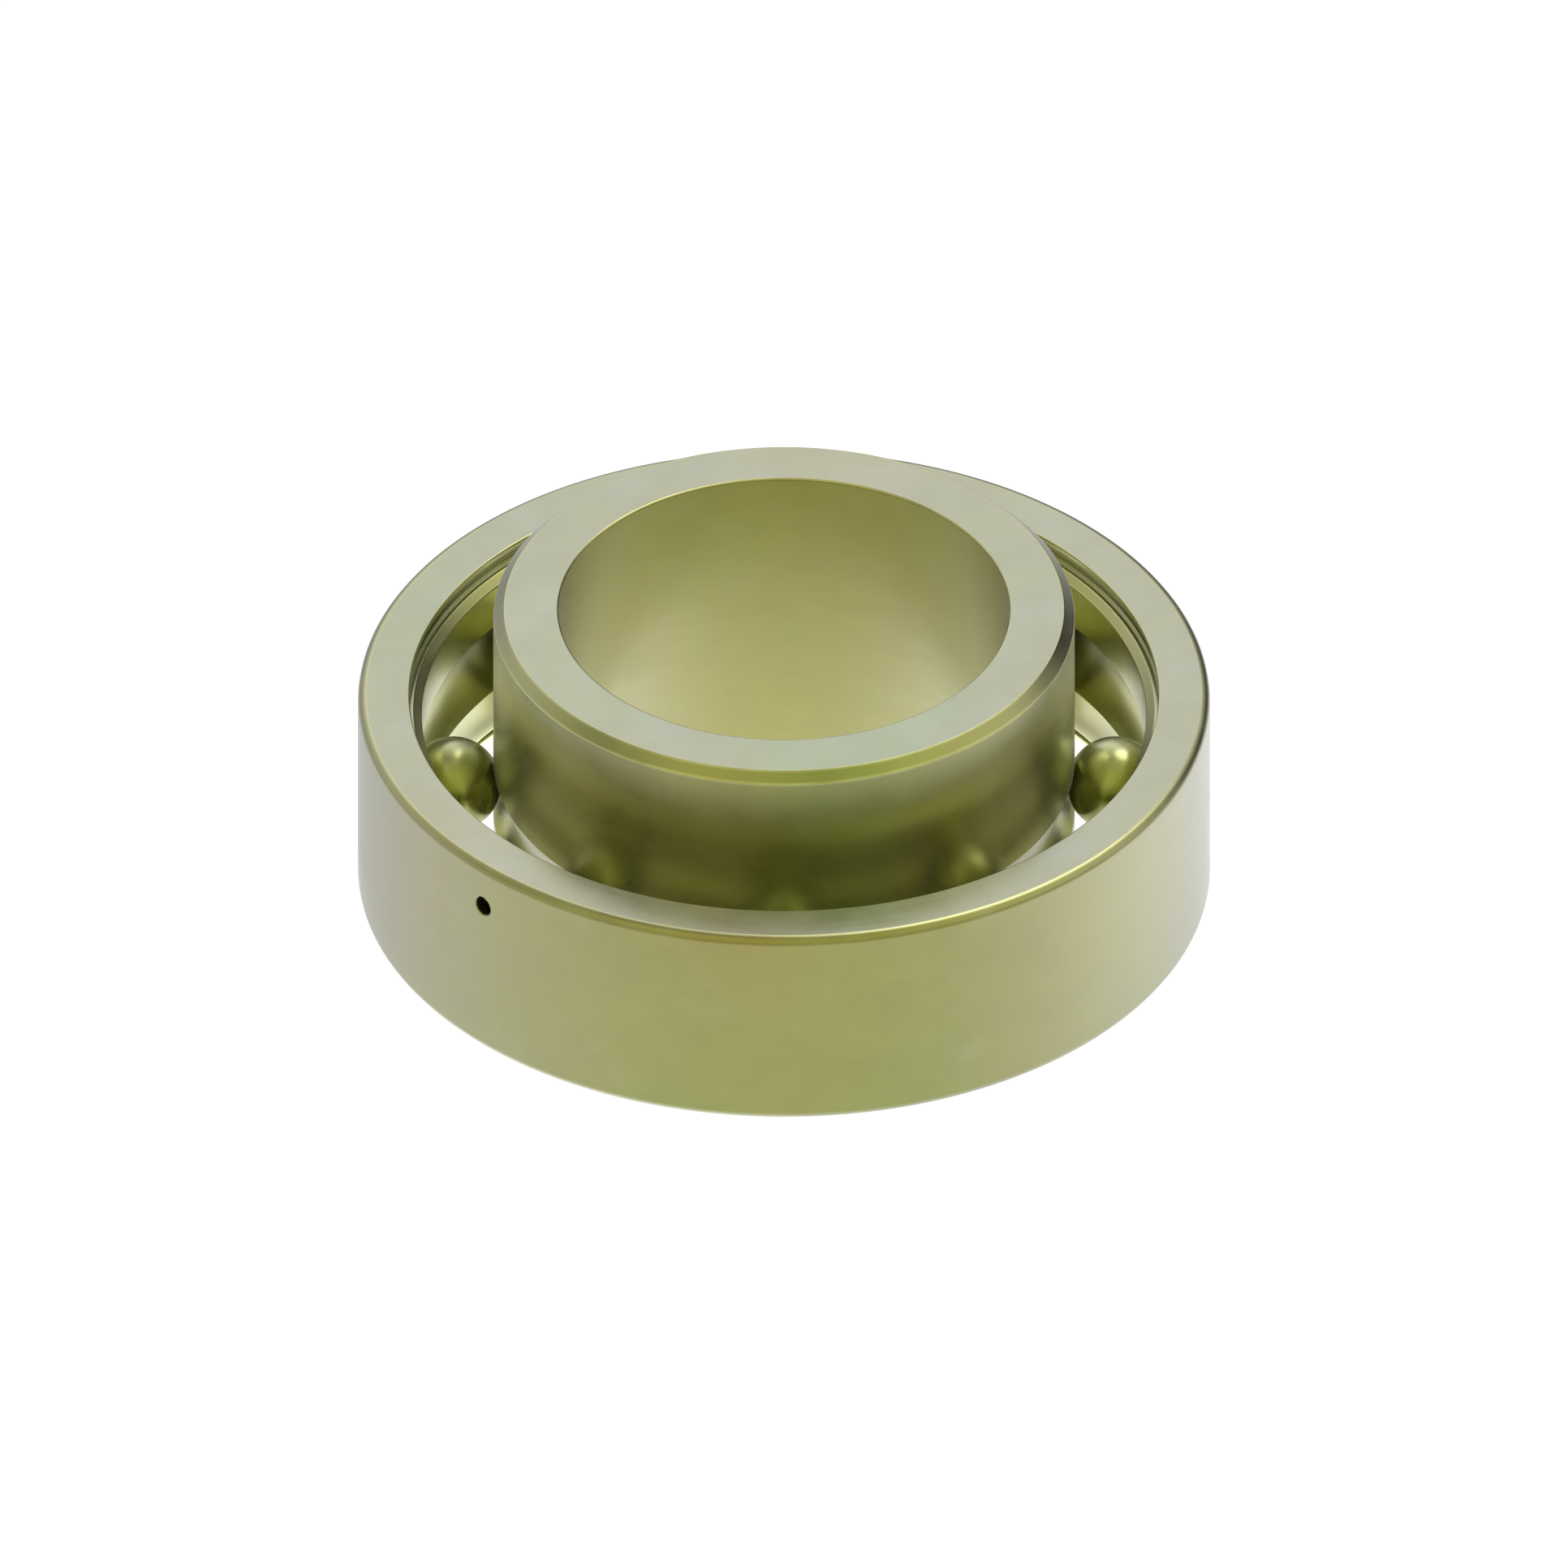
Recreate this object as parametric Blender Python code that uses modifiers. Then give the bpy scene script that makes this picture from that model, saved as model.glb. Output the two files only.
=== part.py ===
"""Ball bearing insert of the 209 size: a cylindrical outer ring with a lubrication hole, an inner ring that
stands out past both of its faces, eight balls and a one-piece crown cage.

Metres, +Z up along the bearing's axis. The origin is the centre of the inner ring's lower end face, and the
plane through the ball centres is RACE_HEIGHT above it.
"""

import math

import bmesh
import bpy
from mathutils import Matrix

# Envelope
OUTER_DIAMETER = 0.085
BORE_DIAMETER = 0.045
OUTER_RING_WIDTH = 0.022
UPPER_EXTENSION = 0.0104  # the inner ring above the outer ring's upper face
LOWER_EXTENSION = 0.008  # the inner ring below the outer ring's lower face

# Rolling elements
BALL_DIAMETER = 0.009525
BALL_COUNT = 8
PITCH_OFFSET = 0.001  # the pitch circle's diameter over the mean of the bore and the outer diameter
RACE_CLEARANCE = 0.0002  # between a ball and the bottom of each raceway
RACE_CONFORMITY = 0.525  # a raceway's groove radius as a share of the ball's diameter

# Rings
INNER_SHOULDER_HEIGHT = 0.00096
OUTER_SHOULDER_HEIGHT = 0.00185
OUTER_EDGE_FILLET = 0.0008
INNER_EDGE_CHAMFER = 0.001
INNER_EDGE_CHAMFER_DEPTH = 0.0011
BORE_EDGE_CHAMFER = 0.0002

# Seal seat in each face of the outer ring, from the face inwards
SEAL_MOUTH_STEP = 0.00125  # the mouth's radius over the shoulder's
SEAL_LIP_DEPTH = 0.0005
SEAL_FLARE_DEPTH = 0.0002
SEAL_GROOVE_CUT = 0.0006  # the groove's radius over the mouth's
SEAL_GROOVE_WIDTH = 0.0008
SEAL_RIB_STEP = 0.00014  # the rib's radius over the mouth's
SEAL_RIB_DEPTH = 0.00035
SEAL_LEDGE_WIDTH = 0.0005
SEAL_CONE_DEPTH = 0.00053
SHOULDER_EDGE_BREAK = 0.0001

# Lubrication hole, straight through the outer ring along -Y
LUBE_HOLE_DIAMETER = 0.002

# Cage: a ring below the balls, outside their pitch circle, with claws that cup each ball from below
POCKET_CLEARANCE = 0.0003
CLAW_THICKNESS = 0.0009
CLAW_INSET = 0.0004  # of the claws' inner side inside the pitch circle
CLAW_RISE = 0.0008  # of the claw tips above the ball centres
CAGE_LAND_CLEARANCE = 0.0007  # between the claws and the outer ring's shoulder
CAGE_RING_OFFSET = 0.0003  # of the ring's inner side outside the pitch circle
CAGE_RING_WIDTH = 0.0011  # along the radius
CAGE_RING_THICKNESS = 0.001
CAGE_FACE_INSET = 0.0003  # of the ring's underside inside the outer ring's lower face
CAGE_TAB_WIDTH = 0.0042  # of the tab that joins the ring to each pair of claws
CAGE_JOIN = 0.0002  # how far the tabs reach into the ring and stay inside its sides

# How finely the round shapes are faceted
RING_SEGMENTS = 64
RACE_STEPS = 8
FILLET_STEPS = 3
BALL_SEGMENTS = 20
BALL_RINGS = 12
HOLE_SEGMENTS = 20
CLAW_SEGMENTS = 24
CLAW_RINGS = 16
CUT_MARGIN = 0.001

# Worked out from the values above
BALL_RADIUS = BALL_DIAMETER / 2
PITCH_RADIUS = ((OUTER_DIAMETER + BORE_DIAMETER) / 2 + PITCH_OFFSET) / 2
RACE_HEIGHT = LOWER_EXTENSION + OUTER_RING_WIDTH / 2
RACE_RADIUS = RACE_CONFORMITY * BALL_DIAMETER
INNER_RACE_BOTTOM = PITCH_RADIUS - BALL_RADIUS - RACE_CLEARANCE
OUTER_RACE_BOTTOM = PITCH_RADIUS + BALL_RADIUS + RACE_CLEARANCE
INNER_SHOULDER = INNER_RACE_BOTTOM + INNER_SHOULDER_HEIGHT
OUTER_SHOULDER = OUTER_RACE_BOTTOM - OUTER_SHOULDER_HEIGHT
POCKET_RADIUS = BALL_RADIUS + POCKET_CLEARANCE
CLAW_OUTSIDE = POCKET_RADIUS + CLAW_THICKNESS
CLAW_REACH = OUTER_SHOULDER - CAGE_LAND_CLEARANCE - PITCH_RADIUS
CAGE_UNDERSIDE = CAGE_FACE_INSET - OUTER_RING_WIDTH / 2

COLOURS = {
    "outer_ring_steel": ((0.40, 0.40, 0.20), 0.35),
    "inner_ring_steel": ((0.42, 0.42, 0.20), 0.32),
    "ball_steel": ((0.36, 0.38, 0.16), 0.15),
    "cage_steel": ((0.34, 0.34, 0.18), 0.40),
}


def clear_scene():
    for thing in list(bpy.data.objects):
        bpy.data.objects.remove(thing)


def new_collection(name):
    made = bpy.data.collections.new(name)
    bpy.context.scene.collection.children.link(made)
    return made


def metal(name):
    colour, roughness = COLOURS[name]
    made = bpy.data.materials.new(name)
    made.use_nodes = True
    shader = made.node_tree.nodes["Principled BSDF"]
    shader.inputs["Base Color"].default_value = (*colour, 1)
    shader.inputs["Metallic"].default_value = 1
    shader.inputs["Roughness"].default_value = roughness
    return made


def add_object(name, mesh, collection, material=None):
    made = bpy.data.objects.new(name, mesh)
    collection.objects.link(made)
    if material:
        mesh.materials.append(material)
    return made


def add_boolean(target, operation, other):
    cut = target.modifiers.new(operation.lower(), "BOOLEAN")
    cut.operation = operation
    cut.object = other


def apply_modifiers(target):
    """Replaces the object's mesh with the evaluated one, shaded smooth except across sharp edges."""
    bpy.context.view_layer.update()
    evaluated = target.evaluated_get(bpy.context.evaluated_depsgraph_get())
    mesh = bpy.data.meshes.new_from_object(evaluated)
    mesh.shade_smooth()
    mesh.set_sharp_from_angle(angle=math.radians(30))
    target.modifiers.clear()
    target.data = mesh


def as_cutter(thing):
    thing.hide_render = True
    thing.display_type = "WIRE"
    return thing


def arc(centre, radius, start, end, steps):
    """Points of an arc in the profile plane, from start to end in degrees, both ends included."""
    turns = [math.radians(start + (end - start) * i / steps) for i in range(steps + 1)]
    return [(centre[0] + radius * math.cos(t), centre[1] + radius * math.sin(t)) for t in turns]


def mirrored(points):
    """The same points below the mid plane, in the opposite order."""
    return [(r, -z) for r, z in reversed(points)]


def turned(name, profile, collection, material=None):
    """A closed profile of (radius, height) points, down its outer side and up its inner one, turned round Z."""
    mesh = bpy.data.meshes.new(name)
    count = len(profile)
    mesh.from_pydata([(r, 0, z) for r, z in profile], [(i, (i + 1) % count) for i in range(count)], [])
    made = add_object(name, mesh, collection, material)
    screw = made.modifiers.new("turn", "SCREW")
    screw.axis = "Z"
    screw.steps = RING_SEGMENTS
    screw.render_steps = RING_SEGMENTS
    screw.use_merge_vertices = True
    screw.merge_threshold = 0.00001
    return made


def race_half_angle(shoulder_height):
    """Degrees from a raceway's bottom to its edge, round the centre of the groove's radius."""
    return math.degrees(math.acos(1 - shoulder_height / RACE_RADIUS))


def race_half_width(shoulder_height):
    return RACE_RADIUS * math.sin(math.radians(race_half_angle(shoulder_height)))


def seal_seat():
    """The upper seal seat from the shoulder's edge up to the mouth, as (radius, height) points."""
    mouth = OUTER_SHOULDER + SEAL_MOUTH_STEP
    groove = mouth + SEAL_GROOVE_CUT
    rib = mouth + SEAL_RIB_STEP
    steps = [
        (mouth, 0),
        (mouth, SEAL_LIP_DEPTH),
        (groove, SEAL_FLARE_DEPTH),
        (groove, SEAL_GROOVE_WIDTH),
        (rib, 0),
        (rib, SEAL_RIB_DEPTH),
        (rib - SEAL_LEDGE_WIDTH, 0),
        (OUTER_SHOULDER + SHOULDER_EDGE_BREAK, SEAL_CONE_DEPTH),
        (OUTER_SHOULDER, SHOULDER_EDGE_BREAK),
    ]
    height = OUTER_RING_WIDTH / 2
    points = []
    for radius, drop in steps:
        height -= drop
        points.append((radius, height))
    return points[::-1]


def make_outer_ring(collection, cutters):
    top = OUTER_RING_WIDTH / 2
    outside = OUTER_DIAMETER / 2
    corner = (outside - OUTER_EDGE_FILLET, top - OUTER_EDGE_FILLET)
    upper_fillet = arc(corner, OUTER_EDGE_FILLET, 90, 0, FILLET_STEPS)
    upper_seat = seal_seat()
    groove_centre = (OUTER_RACE_BOTTOM - RACE_RADIUS, 0)
    half_angle = race_half_angle(OUTER_SHOULDER_HEIGHT)
    race = arc(groove_centre, RACE_RADIUS, -half_angle, half_angle, RACE_STEPS)
    profile = upper_fillet + mirrored(upper_fillet) + mirrored(upper_seat) + race + upper_seat
    ring = turned("outer_ring", profile, collection, metal("outer_ring_steel"))

    seat_edge = upper_seat[0][1]
    race_edge = race_half_width(OUTER_SHOULDER_HEIGHT)
    drill = bpy.data.meshes.new("lube_hole_drill")
    shape = bmesh.new()
    bmesh.ops.create_cone(
        shape,
        cap_ends=True,
        segments=HOLE_SEGMENTS,
        radius1=LUBE_HOLE_DIAMETER / 2,
        radius2=LUBE_HOLE_DIAMETER / 2,
        depth=outside - OUTER_SHOULDER + 2 * CUT_MARGIN,
    )
    middle = (0, -(outside + OUTER_SHOULDER) / 2, (seat_edge + race_edge) / 2)
    bmesh.ops.transform(
        shape, matrix=Matrix.Translation(middle) @ Matrix.Rotation(math.pi / 2, 4, "X"), verts=shape.verts
    )
    shape.to_mesh(drill)
    shape.free()
    add_boolean(ring, "DIFFERENCE", as_cutter(add_object("lube_hole_drill", drill, cutters)))
    apply_modifiers(ring)
    return ring


def make_inner_ring(collection):
    top = OUTER_RING_WIDTH / 2 + UPPER_EXTENSION
    bottom = -OUTER_RING_WIDTH / 2 - LOWER_EXTENSION
    bore = BORE_DIAMETER / 2
    groove_centre = (INNER_RACE_BOTTOM + RACE_RADIUS, 0)
    half_angle = race_half_angle(INNER_SHOULDER_HEIGHT)
    race = arc(groove_centre, RACE_RADIUS, 180 - half_angle, 180 + half_angle, RACE_STEPS)
    outer_side = [
        (INNER_SHOULDER - INNER_EDGE_CHAMFER, top),
        (INNER_SHOULDER, top - INNER_EDGE_CHAMFER_DEPTH),
        *race,
        (INNER_SHOULDER, bottom + INNER_EDGE_CHAMFER_DEPTH),
        (INNER_SHOULDER - INNER_EDGE_CHAMFER, bottom),
    ]
    bore_side = [
        (bore + BORE_EDGE_CHAMFER, bottom),
        (bore, bottom + BORE_EDGE_CHAMFER),
        (bore, top - BORE_EDGE_CHAMFER),
        (bore + BORE_EDGE_CHAMFER, top),
    ]
    ring = turned("inner_ring", outer_side + bore_side, collection, metal("inner_ring_steel"))
    apply_modifiers(ring)
    return ring


def ball_mesh(name, radius, segments, rings):
    mesh = bpy.data.meshes.new(name)
    shape = bmesh.new()
    bmesh.ops.create_uvsphere(shape, u_segments=segments, v_segments=rings, radius=radius)
    shape.to_mesh(mesh)
    shape.free()
    mesh.shade_smooth()
    return mesh


def box_mesh(name, low, high):
    mesh = bpy.data.meshes.new(name)
    shape = bmesh.new()
    bmesh.ops.create_cube(shape, size=1)
    size = [b - a for a, b in zip(low, high)]
    middle = [(a + b) / 2 for a, b in zip(low, high)]
    bmesh.ops.scale(shape, vec=size, verts=shape.verts)
    bmesh.ops.translate(shape, vec=middle, verts=shape.verts)
    shape.to_mesh(mesh)
    shape.free()
    return mesh


def ball_angle(index):
    return 2 * math.pi * index / BALL_COUNT


def make_balls(collection):
    mesh = ball_mesh("ball", BALL_RADIUS, BALL_SEGMENTS, BALL_RINGS)
    mesh.materials.append(metal("ball_steel"))
    balls = []
    for index in range(BALL_COUNT):
        ball = add_object(f"ball_{index + 1}", mesh, collection)
        turn = ball_angle(index)
        ball.location = (PITCH_RADIUS * math.cos(turn), PITCH_RADIUS * math.sin(turn), 0)
        ball.rotation_euler.z = turn
        balls.append(ball)
    return balls


def make_claws(cutters):
    """The claws that cup one ball from below, with the tab that carries them, centred on that ball."""
    claws = add_object("claws", ball_mesh("claws", CLAW_OUTSIDE, CLAW_SEGMENTS, CLAW_RINGS), cutters)
    beyond = CLAW_OUTSIDE + CUT_MARGIN
    slab_mesh = box_mesh("claw_slab", (-CLAW_INSET, -beyond, -beyond), (CLAW_REACH, beyond, CLAW_RISE))
    tab_mesh = box_mesh(
        "claw_tab",
        (CAGE_RING_OFFSET + CAGE_JOIN, -CAGE_TAB_WIDTH / 2, CAGE_UNDERSIDE + CAGE_JOIN),
        (CAGE_RING_OFFSET + CAGE_RING_WIDTH - CAGE_JOIN, CAGE_TAB_WIDTH / 2, -BALL_RADIUS),
    )
    add_boolean(claws, "INTERSECT", as_cutter(add_object("claw_slab", slab_mesh, cutters)))
    add_boolean(claws, "UNION", as_cutter(add_object("claw_tab", tab_mesh, cutters)))
    apply_modifiers(claws)
    return as_cutter(claws)


def make_cage(collection, cutters):
    inside = PITCH_RADIUS + CAGE_RING_OFFSET
    outside = inside + CAGE_RING_WIDTH
    top = CAGE_UNDERSIDE + CAGE_RING_THICKNESS
    profile = [(outside, top), (outside, CAGE_UNDERSIDE), (inside, CAGE_UNDERSIDE), (inside, top)]
    cage = turned("cage", profile, collection, metal("cage_steel"))
    claws = make_claws(cutters)
    pocket_mesh = ball_mesh("pocket", POCKET_RADIUS, CLAW_SEGMENTS, CLAW_RINGS)
    for index in range(BALL_COUNT):
        turn = Matrix.Rotation(ball_angle(index), 4, "Z") @ Matrix.Translation((PITCH_RADIUS, 0, 0))
        for mesh, operation in ((claws.data, "UNION"), (pocket_mesh, "DIFFERENCE")):
            tool = as_cutter(add_object(f"{mesh.name}_{index + 1}", mesh, cutters))
            tool.matrix_world = turn
            add_boolean(cage, operation, tool)
    apply_modifiers(cage)
    return cage


def main():
    clear_scene()
    parts = new_collection("ball_bearing")
    cutters = new_collection("cutters")
    axis = bpy.data.objects.new("bearing_axis", None)
    parts.objects.link(axis)
    pieces = [make_outer_ring(parts, cutters), make_inner_ring(parts)]
    pieces.append(make_cage(parts, cutters))
    pieces.extend(make_balls(parts))
    for piece in pieces:
        piece.parent = axis
    axis.location.z = RACE_HEIGHT
    bpy.context.view_layer.update()


main()
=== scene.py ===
"""Looks of the ball bearing: its turned rings, balls and cage with fine surfaces, on a plain pale floor."""

import math

import bmesh
import bpy
from mathutils import Matrix, Vector


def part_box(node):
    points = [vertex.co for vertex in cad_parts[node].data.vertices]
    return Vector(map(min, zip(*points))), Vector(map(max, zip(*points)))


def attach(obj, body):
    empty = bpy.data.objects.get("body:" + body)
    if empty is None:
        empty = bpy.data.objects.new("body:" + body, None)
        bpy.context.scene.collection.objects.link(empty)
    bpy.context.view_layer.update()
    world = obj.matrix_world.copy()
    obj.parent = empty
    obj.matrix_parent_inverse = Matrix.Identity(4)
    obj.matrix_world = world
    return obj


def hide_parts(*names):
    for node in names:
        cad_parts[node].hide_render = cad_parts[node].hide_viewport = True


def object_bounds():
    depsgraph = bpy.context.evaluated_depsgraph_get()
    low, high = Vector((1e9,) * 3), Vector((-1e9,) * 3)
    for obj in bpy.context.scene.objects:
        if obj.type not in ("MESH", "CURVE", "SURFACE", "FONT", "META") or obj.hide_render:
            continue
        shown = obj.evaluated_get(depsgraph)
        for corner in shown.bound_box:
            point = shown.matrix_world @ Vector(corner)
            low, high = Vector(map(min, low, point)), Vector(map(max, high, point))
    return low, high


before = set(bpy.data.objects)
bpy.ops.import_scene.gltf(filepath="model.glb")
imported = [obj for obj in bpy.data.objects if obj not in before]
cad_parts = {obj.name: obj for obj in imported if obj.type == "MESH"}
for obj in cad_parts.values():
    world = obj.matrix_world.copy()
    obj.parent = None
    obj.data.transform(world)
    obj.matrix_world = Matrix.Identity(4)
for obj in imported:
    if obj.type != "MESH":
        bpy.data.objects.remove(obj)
cad_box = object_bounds()

MM = 0.001
OUTER_LOW, OUTER_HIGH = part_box("outer_ring")
INNER_LOW, INNER_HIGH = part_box("inner_ring")
BALL_LOW, BALL_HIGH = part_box("ball_1")
CAGE_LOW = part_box("cage")[0]
BALL_COUNT = sum(name.startswith("ball_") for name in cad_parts)

# All in millimetres, with heights from the plane of the ball centres
MID = (OUTER_LOW[2] + OUTER_HIGH[2]) / 2 / MM
OUTER_R = OUTER_HIGH[0] / MM
OUTER_TOP = OUTER_HIGH[2] / MM - MID
INNER_TOP = INNER_HIGH[2] / MM - MID
INNER_BOTTOM = INNER_LOW[2] / MM - MID
INNER_R = 29.0
INNER_CHAMFER_WIDTH = 1.05
INNER_CHAMFER_DEPTH = 1.0
BORE_R = 22.5
BORE_EDGE = 0.18
BALL_R = (BALL_HIGH[2] - BALL_LOW[2]) / 2 / MM
PITCH_R = (BALL_HIGH[0] + BALL_LOW[0]) / 2 / MM
RACE_GAP = 0.2
GROOVE_R = 5.0
OUTER_LAND_R = 36.12
OUTER_FILLET = 0.8
# The seal's seat in each face of the outer ring: a ledge, a rib, the groove and its mouth
SEAT_START = 8.52
LEDGE_R, LEDGE_HEIGHT = 37.0, 9.15
RIB_R, RIB_HEIGHT = 37.5, 9.5
SEAL_GROOVE_R, SEAL_GROOVE_TOP = 37.97, 10.3
MOUTH_R, MOUTH_START = 37.36, 10.5
HOLE_R = 1.0
HOLE_HEIGHT = 6.3
HOLE_EDGE = 0.12
DRILL_PAST_INSIDE, DRILL_PAST_OUTSIDE = 1.5, 1.2
HOLE_SIDES = 48
# Heights over the hole at which the outer wall gets a row of points, so that the cut leaves no long faces
WALL_ROWS = (1.5, -1.5, -3.5, -6.5, -10.0, -13.5)
CAGE_BOTTOM = CAGE_LOW[2] / MM - MID
CAGE_RING_IN, CAGE_RING_OUT = 33.3, 34.4
CAGE_RING_THICKNESS = 1.0
CAGE_EDGE = 0.25
CLAW_IN, CLAW_OUT = 5.06, 5.96  # radii round the ball's centre
CLAW_NEAR, CLAW_FAR = -0.4, 2.4  # along the bearing's radius, from the pitch circle
CLAW_EDGE = 0.22
CLAW_END = 97.5  # degrees from straight down
CLAW_STEPS = 24
TIP_LENGTH, TIP_SHRINK = 0.3, 0.45  # how far a claw's rounded tip reaches, and what share it loses
TONGUE_NEAR, TONGUE_FAR = 0.42, 1.28  # along the bearing's radius, from the pitch circle
TONGUE_HALF_WIDTH = 2.1
TONGUE_HEIGHTS = (-10.45, -9.0, -7.2, -5.28)
SEGMENTS = 240
RING_SHARP_ANGLE = 24  # degrees between two faces from which their edge is drawn sharp
CAGE_SHARP_ANGLE = 35


# ---------------------------------------------------------------- shapes


def rounded(corners, steps=4, support=0.07):
    """A closed outline with each (r, z, radius) corner rounded, and a point beside each end of the arc, so
    that smooth shading bends only there."""
    points = []
    for i, (r, z, radius) in enumerate(corners):
        here = Vector((r, z))
        back = Vector(corners[i - 1][:2]) - here
        on = Vector(corners[(i + 1) % len(corners)][:2]) - here
        if not radius:
            points.append(here)
            continue
        half = back.angle(on) / 2
        reach = min(radius / math.tan(half), 0.42 * back.length, 0.42 * on.length)
        size = reach * math.tan(half)
        ends = [here + back.normalized() * reach, here + on.normalized() * reach]
        centre = here + (back.normalized() + on.normalized()).normalized() * size / math.sin(half)
        if reach + support < 0.47 * back.length:
            points.append(here + back.normalized() * (reach + support))
        turn = (ends[0] - centre).angle_signed(ends[1] - centre)
        for k in range(steps + 1):
            arm = (ends[0] - centre).copy()
            arm.rotate(Matrix.Rotation(-turn * k / steps, 2))
            points.append(centre + arm)
        if reach + support < 0.47 * on.length:
            points.append(here + on.normalized() * (reach + support))
    return [(p.x, p.y) for p in points]


def placed(name, data):
    """A new object with this data, in the scene."""
    made = bpy.data.objects.new(name, data)
    bpy.context.scene.collection.objects.link(made)
    return made


def mesh_object(name, vertices, faces):
    """A smooth mesh object from millimetres and heights over the ball plane, its faces turned outwards."""
    mesh = bpy.data.meshes.new(name)
    mesh.from_pydata([(x * MM, y * MM, (z + MID) * MM) for x, y, z in vertices], [], faces)
    shape = bmesh.new()
    shape.from_mesh(mesh)
    bmesh.ops.recalc_face_normals(shape, faces=shape.faces)
    shape.to_mesh(mesh)
    shape.free()
    mesh.shade_smooth()
    return placed(name, mesh)


def lathe(name, outline, segments=SEGMENTS):
    """A closed outline of (radius, height) points turned round the bearing's axis."""
    count = len(outline)
    vertices = []
    for s in range(segments):
        turn = 2 * math.pi * s / segments
        vertices += [(r * math.cos(turn), r * math.sin(turn), z) for r, z in outline]
    faces = []
    for s in range(segments):
        a, b = s * count, (s + 1) % segments * count
        for i in range(count):
            j = (i + 1) % count
            faces.append((a + i, b + i, b + j, a + j))
    return mesh_object(name, vertices, faces)


def swept_faces(count, sections):
    """The faces of a closed tube through sections of count points each, with an end face at both ends."""
    last = count * sections
    faces = [tuple(range(count)), tuple(range(last - 1, last - count - 1, -1))]
    for s in range(sections - 1):
        for k in range(count):
            n = (k + 1) % count
            faces.append((s * count + k, s * count + n, (s + 1) * count + n, (s + 1) * count + k))
    return faces


def race(centre_r, start, end, steps=22):
    """A raceway's groove as outline corners, from start to end in degrees round its centre."""
    corners = []
    for k in range(steps + 1):
        turn = math.radians(start + (end - start) * k / steps)
        edge = 0.12 if k in (0, steps) else 0
        corners.append((centre_r + GROOVE_R * math.cos(turn), GROOVE_R * math.sin(turn), edge))
    return corners


def boolean(target, operation, other):
    """Cuts the other object from the target or joins it on, and removes it."""
    modifier = target.modifiers.new(operation.lower(), "BOOLEAN")
    modifier.operation = operation
    modifier.object = other
    bpy.context.view_layer.update()
    evaluated = target.evaluated_get(bpy.context.evaluated_depsgraph_get())
    mesh = bpy.data.meshes.new_from_object(evaluated)
    target.modifiers.clear()
    old = target.data
    target.data = mesh
    bpy.data.meshes.remove(old)
    bpy.data.objects.remove(other)
    mesh.shade_smooth()


def make_outer_ring():
    """The outer ring: a raceway, a seal's seat in each face and the lubrication hole."""
    groove_centre = PITCH_R + BALL_R + RACE_GAP - GROOVE_R
    half = math.degrees(math.acos((OUTER_LAND_R - groove_centre) / GROOVE_R))
    seat = [
        (OUTER_LAND_R, SEAT_START, 0.16),
        (LEDGE_R, LEDGE_HEIGHT, 0.08),
        (RIB_R, LEDGE_HEIGHT, 0.05),
        (RIB_R, RIB_HEIGHT, 0.06),
        (SEAL_GROOVE_R, RIB_HEIGHT, 0.08),
        (SEAL_GROOVE_R, SEAL_GROOVE_TOP, 0.1),
        (MOUTH_R, MOUTH_START, 0.08),
        (MOUTH_R, OUTER_TOP, 0.14),
    ]
    lower_seat = [(r, -z, size) for r, z, size in reversed(seat)]
    rows = [(OUTER_R, HOLE_HEIGHT + step, 0) for step in WALL_ROWS]
    corners = [(OUTER_R, OUTER_TOP, OUTER_FILLET), *rows, (OUTER_R, -OUTER_TOP, OUTER_FILLET)]
    corners += lower_seat + race(groove_centre, -half, half) + seat
    ring = lathe("outer_ring_turned", rounded(corners))

    # The drill as (distance from the axis, drill's radius): it widens at both walls, which breaks the edges
    stations = [
        (OUTER_LAND_R - DRILL_PAST_INSIDE, HOLE_R + 1.4),
        (OUTER_LAND_R - 0.02, HOLE_R + HOLE_EDGE),
        (OUTER_LAND_R + 0.12, HOLE_R),
        (OUTER_R - 0.17, HOLE_R),
        (OUTER_R - 0.12, HOLE_R + 0.015),
        (OUTER_R - 0.02, HOLE_R + HOLE_EDGE),
        (OUTER_R + DRILL_PAST_OUTSIDE, HOLE_R + 1.34),
    ]
    vertices = []
    for y, r in stations:
        for k in range(HOLE_SIDES):
            turn = 2 * math.pi * k / HOLE_SIDES
            vertices.append((r * math.cos(turn), -y, HOLE_HEIGHT + r * math.sin(turn)))
    faces = swept_faces(HOLE_SIDES, len(stations))
    boolean(ring, "DIFFERENCE", mesh_object("hole_drill", vertices, faces))
    ring.data.set_sharp_from_angle(angle=math.radians(RING_SHARP_ANGLE))
    return ring


def make_inner_ring():
    """The wide inner ring: plain bore, chamfered outer edges and a raceway off its middle."""
    groove_centre = PITCH_R - BALL_R - RACE_GAP + GROOVE_R
    half = math.degrees(math.acos((groove_centre - INNER_R) / GROOVE_R))
    corners = [
        (INNER_R - INNER_CHAMFER_WIDTH, INNER_TOP, 0.1),
        (INNER_R, INNER_TOP - INNER_CHAMFER_DEPTH, 0.16),
        *race(groove_centre, 180 - half, 180 + half),
        (INNER_R, INNER_BOTTOM + INNER_CHAMFER_DEPTH, 0.16),
        (INNER_R - INNER_CHAMFER_WIDTH, INNER_BOTTOM, 0.1),
        (BORE_R, INNER_BOTTOM, BORE_EDGE),
        (BORE_R, INNER_TOP, BORE_EDGE),
    ]
    return lathe("inner_ring_turned", rounded(corners))


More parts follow.
